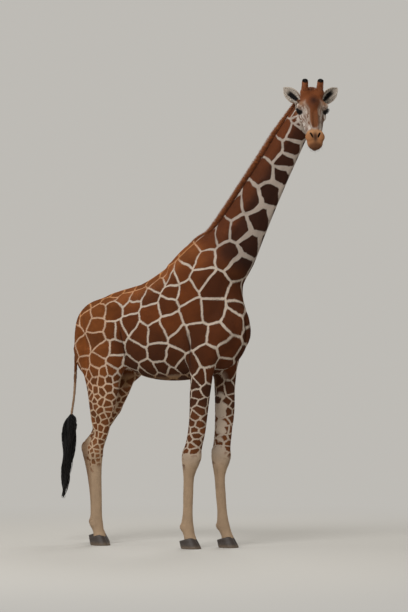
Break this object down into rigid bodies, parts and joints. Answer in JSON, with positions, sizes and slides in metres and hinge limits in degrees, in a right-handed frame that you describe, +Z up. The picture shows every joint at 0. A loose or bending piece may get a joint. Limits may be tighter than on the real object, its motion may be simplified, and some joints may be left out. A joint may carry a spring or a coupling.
{
  "type": "giraffe",
  "caption": "Life-size still model of a reticulated giraffe, standing on all fours with its head turned to one side.",
  "frame": {"origin": "centre of the model's footprint box, on the floor its hooves stand on", "axes": "+X forward along the body, +Y to the animal's left, +Z up"},
  "size_m": [3.0992, 0.7208, 4.3561],
  "materials": {
    "coat": "short haired hide, chestnut patches parted by cream lines",
    "horn_skin": "haired skin over bone, black hair at the tip",
    "mane_hair": "short stiff upright hair, red brown",
    "switch_hair": "long coarse black hair",
    "hoof_horn": "worn dark horn",
    "eye": "wet, very dark brown"
  },
  "bodies": {
    "root": {"trunk": "coat", "neck": "coat", "head": "coat", "fore_leg_right": "coat", "fore_leg_left": "coat", "hind_leg_right": "coat", "hind_leg_left": "coat", "tail": "coat", "ear_left": "coat", "ear_right": "coat", "ossicone_left": "horn_skin", "ossicone_right": "horn_skin", "mane": "mane_hair", "tail_switch": "switch_hair", "fore_hoof_right_outer": "hoof_horn", "fore_hoof_right_inner": "hoof_horn", "fore_hoof_left_outer": "hoof_horn", "fore_hoof_left_inner": "hoof_horn", "hind_hoof_right_outer": "hoof_horn", "hind_hoof_right_inner": "hoof_horn", "hind_hoof_left_outer": "hoof_horn", "hind_hoof_left_inner": "hoof_horn", "eye_left": "eye", "eye_right": "eye"}
  },
  "joints": []
}
